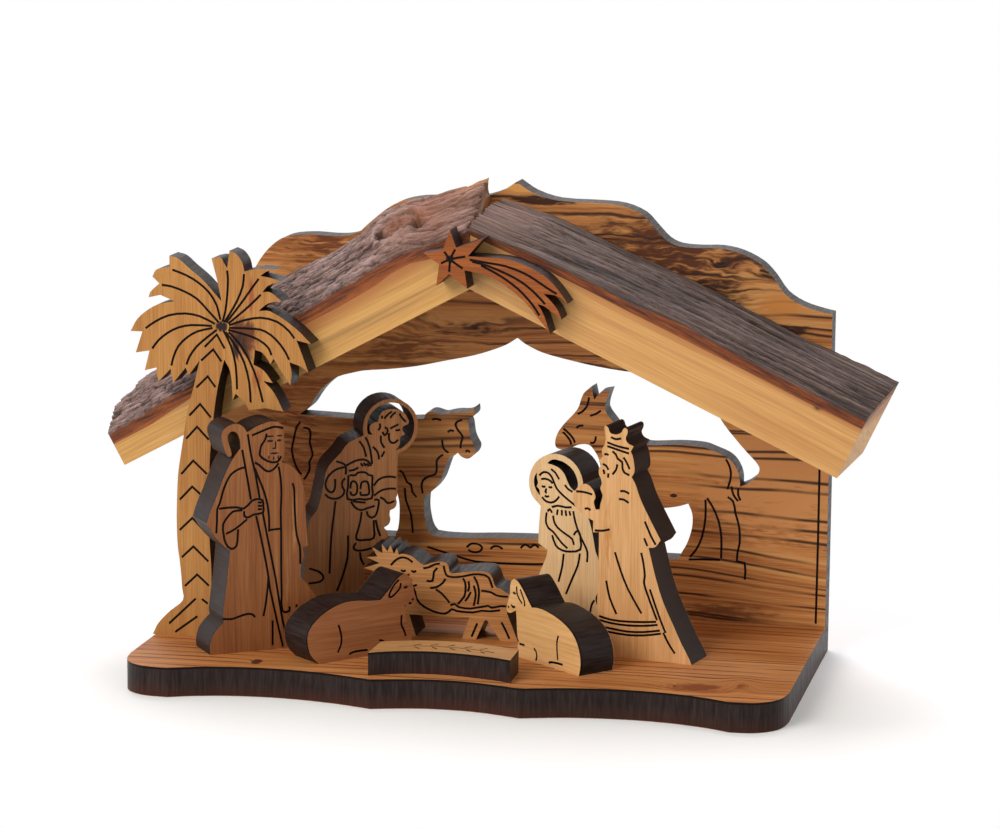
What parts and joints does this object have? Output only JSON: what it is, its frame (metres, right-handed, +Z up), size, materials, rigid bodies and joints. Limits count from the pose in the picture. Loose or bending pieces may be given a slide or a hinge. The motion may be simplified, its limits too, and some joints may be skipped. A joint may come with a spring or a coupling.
{
  "type": "wooden nativity stable",
  "caption": "Wooden nativity stable: a fretwork back wall with ox and donkey on a scalloped base, bark-covered half-round roof slabs, palm, comet, sheep, manger and glued figures.",
  "frame": {"origin": "middle of the base's underside", "axes": "+X along the width to the viewer's right, +Y from the front edge to the back wall, +Z up"},
  "size_m": [0.1891, 0.083, 0.1141],
  "materials": {
    "base_wood": "sawn, charred edges",
    "wall_wood": "sawn, charred edges",
    "slab_wood": "sawn",
    "left_bark": "natural bark, cracked",
    "right_bark": "natural bark, ridged",
    "palm_wood": "sawn, charred edges",
    "comet_wood": "sawn, charred edges",
    "shepherd_wood": "sawn, charred edges",
    "lantern_wood": "sawn, charred edges",
    "manger_wood": "sawn, charred edges",
    "mother_wood": "sawn, charred edges",
    "king_wood": "sawn, charred edges",
    "left_sheep_wood": "sawn, charred edges",
    "right_sheep_wood": "sawn, charred edges",
    "plate_wood": "sawn, charred front"
  },
  "bodies": {
    "root": {"base_plate": "base_wood", "back_wall": "wall_wood", "roof_left_timber": "slab_wood", "roof_left_bark": "left_bark", "roof_right_timber": "slab_wood", "roof_right_bark": "right_bark", "palm_tree": "palm_wood", "comet_star": "comet_wood", "shepherd_figure": "shepherd_wood", "lantern_figure": "lantern_wood", "infant_manger": "manger_wood", "mother_figure": "mother_wood", "king_figure": "king_wood", "sheep_left": "left_sheep_wood", "sheep_right": "right_sheep_wood", "name_plate": "plate_wood"}
  },
  "joints": []
}
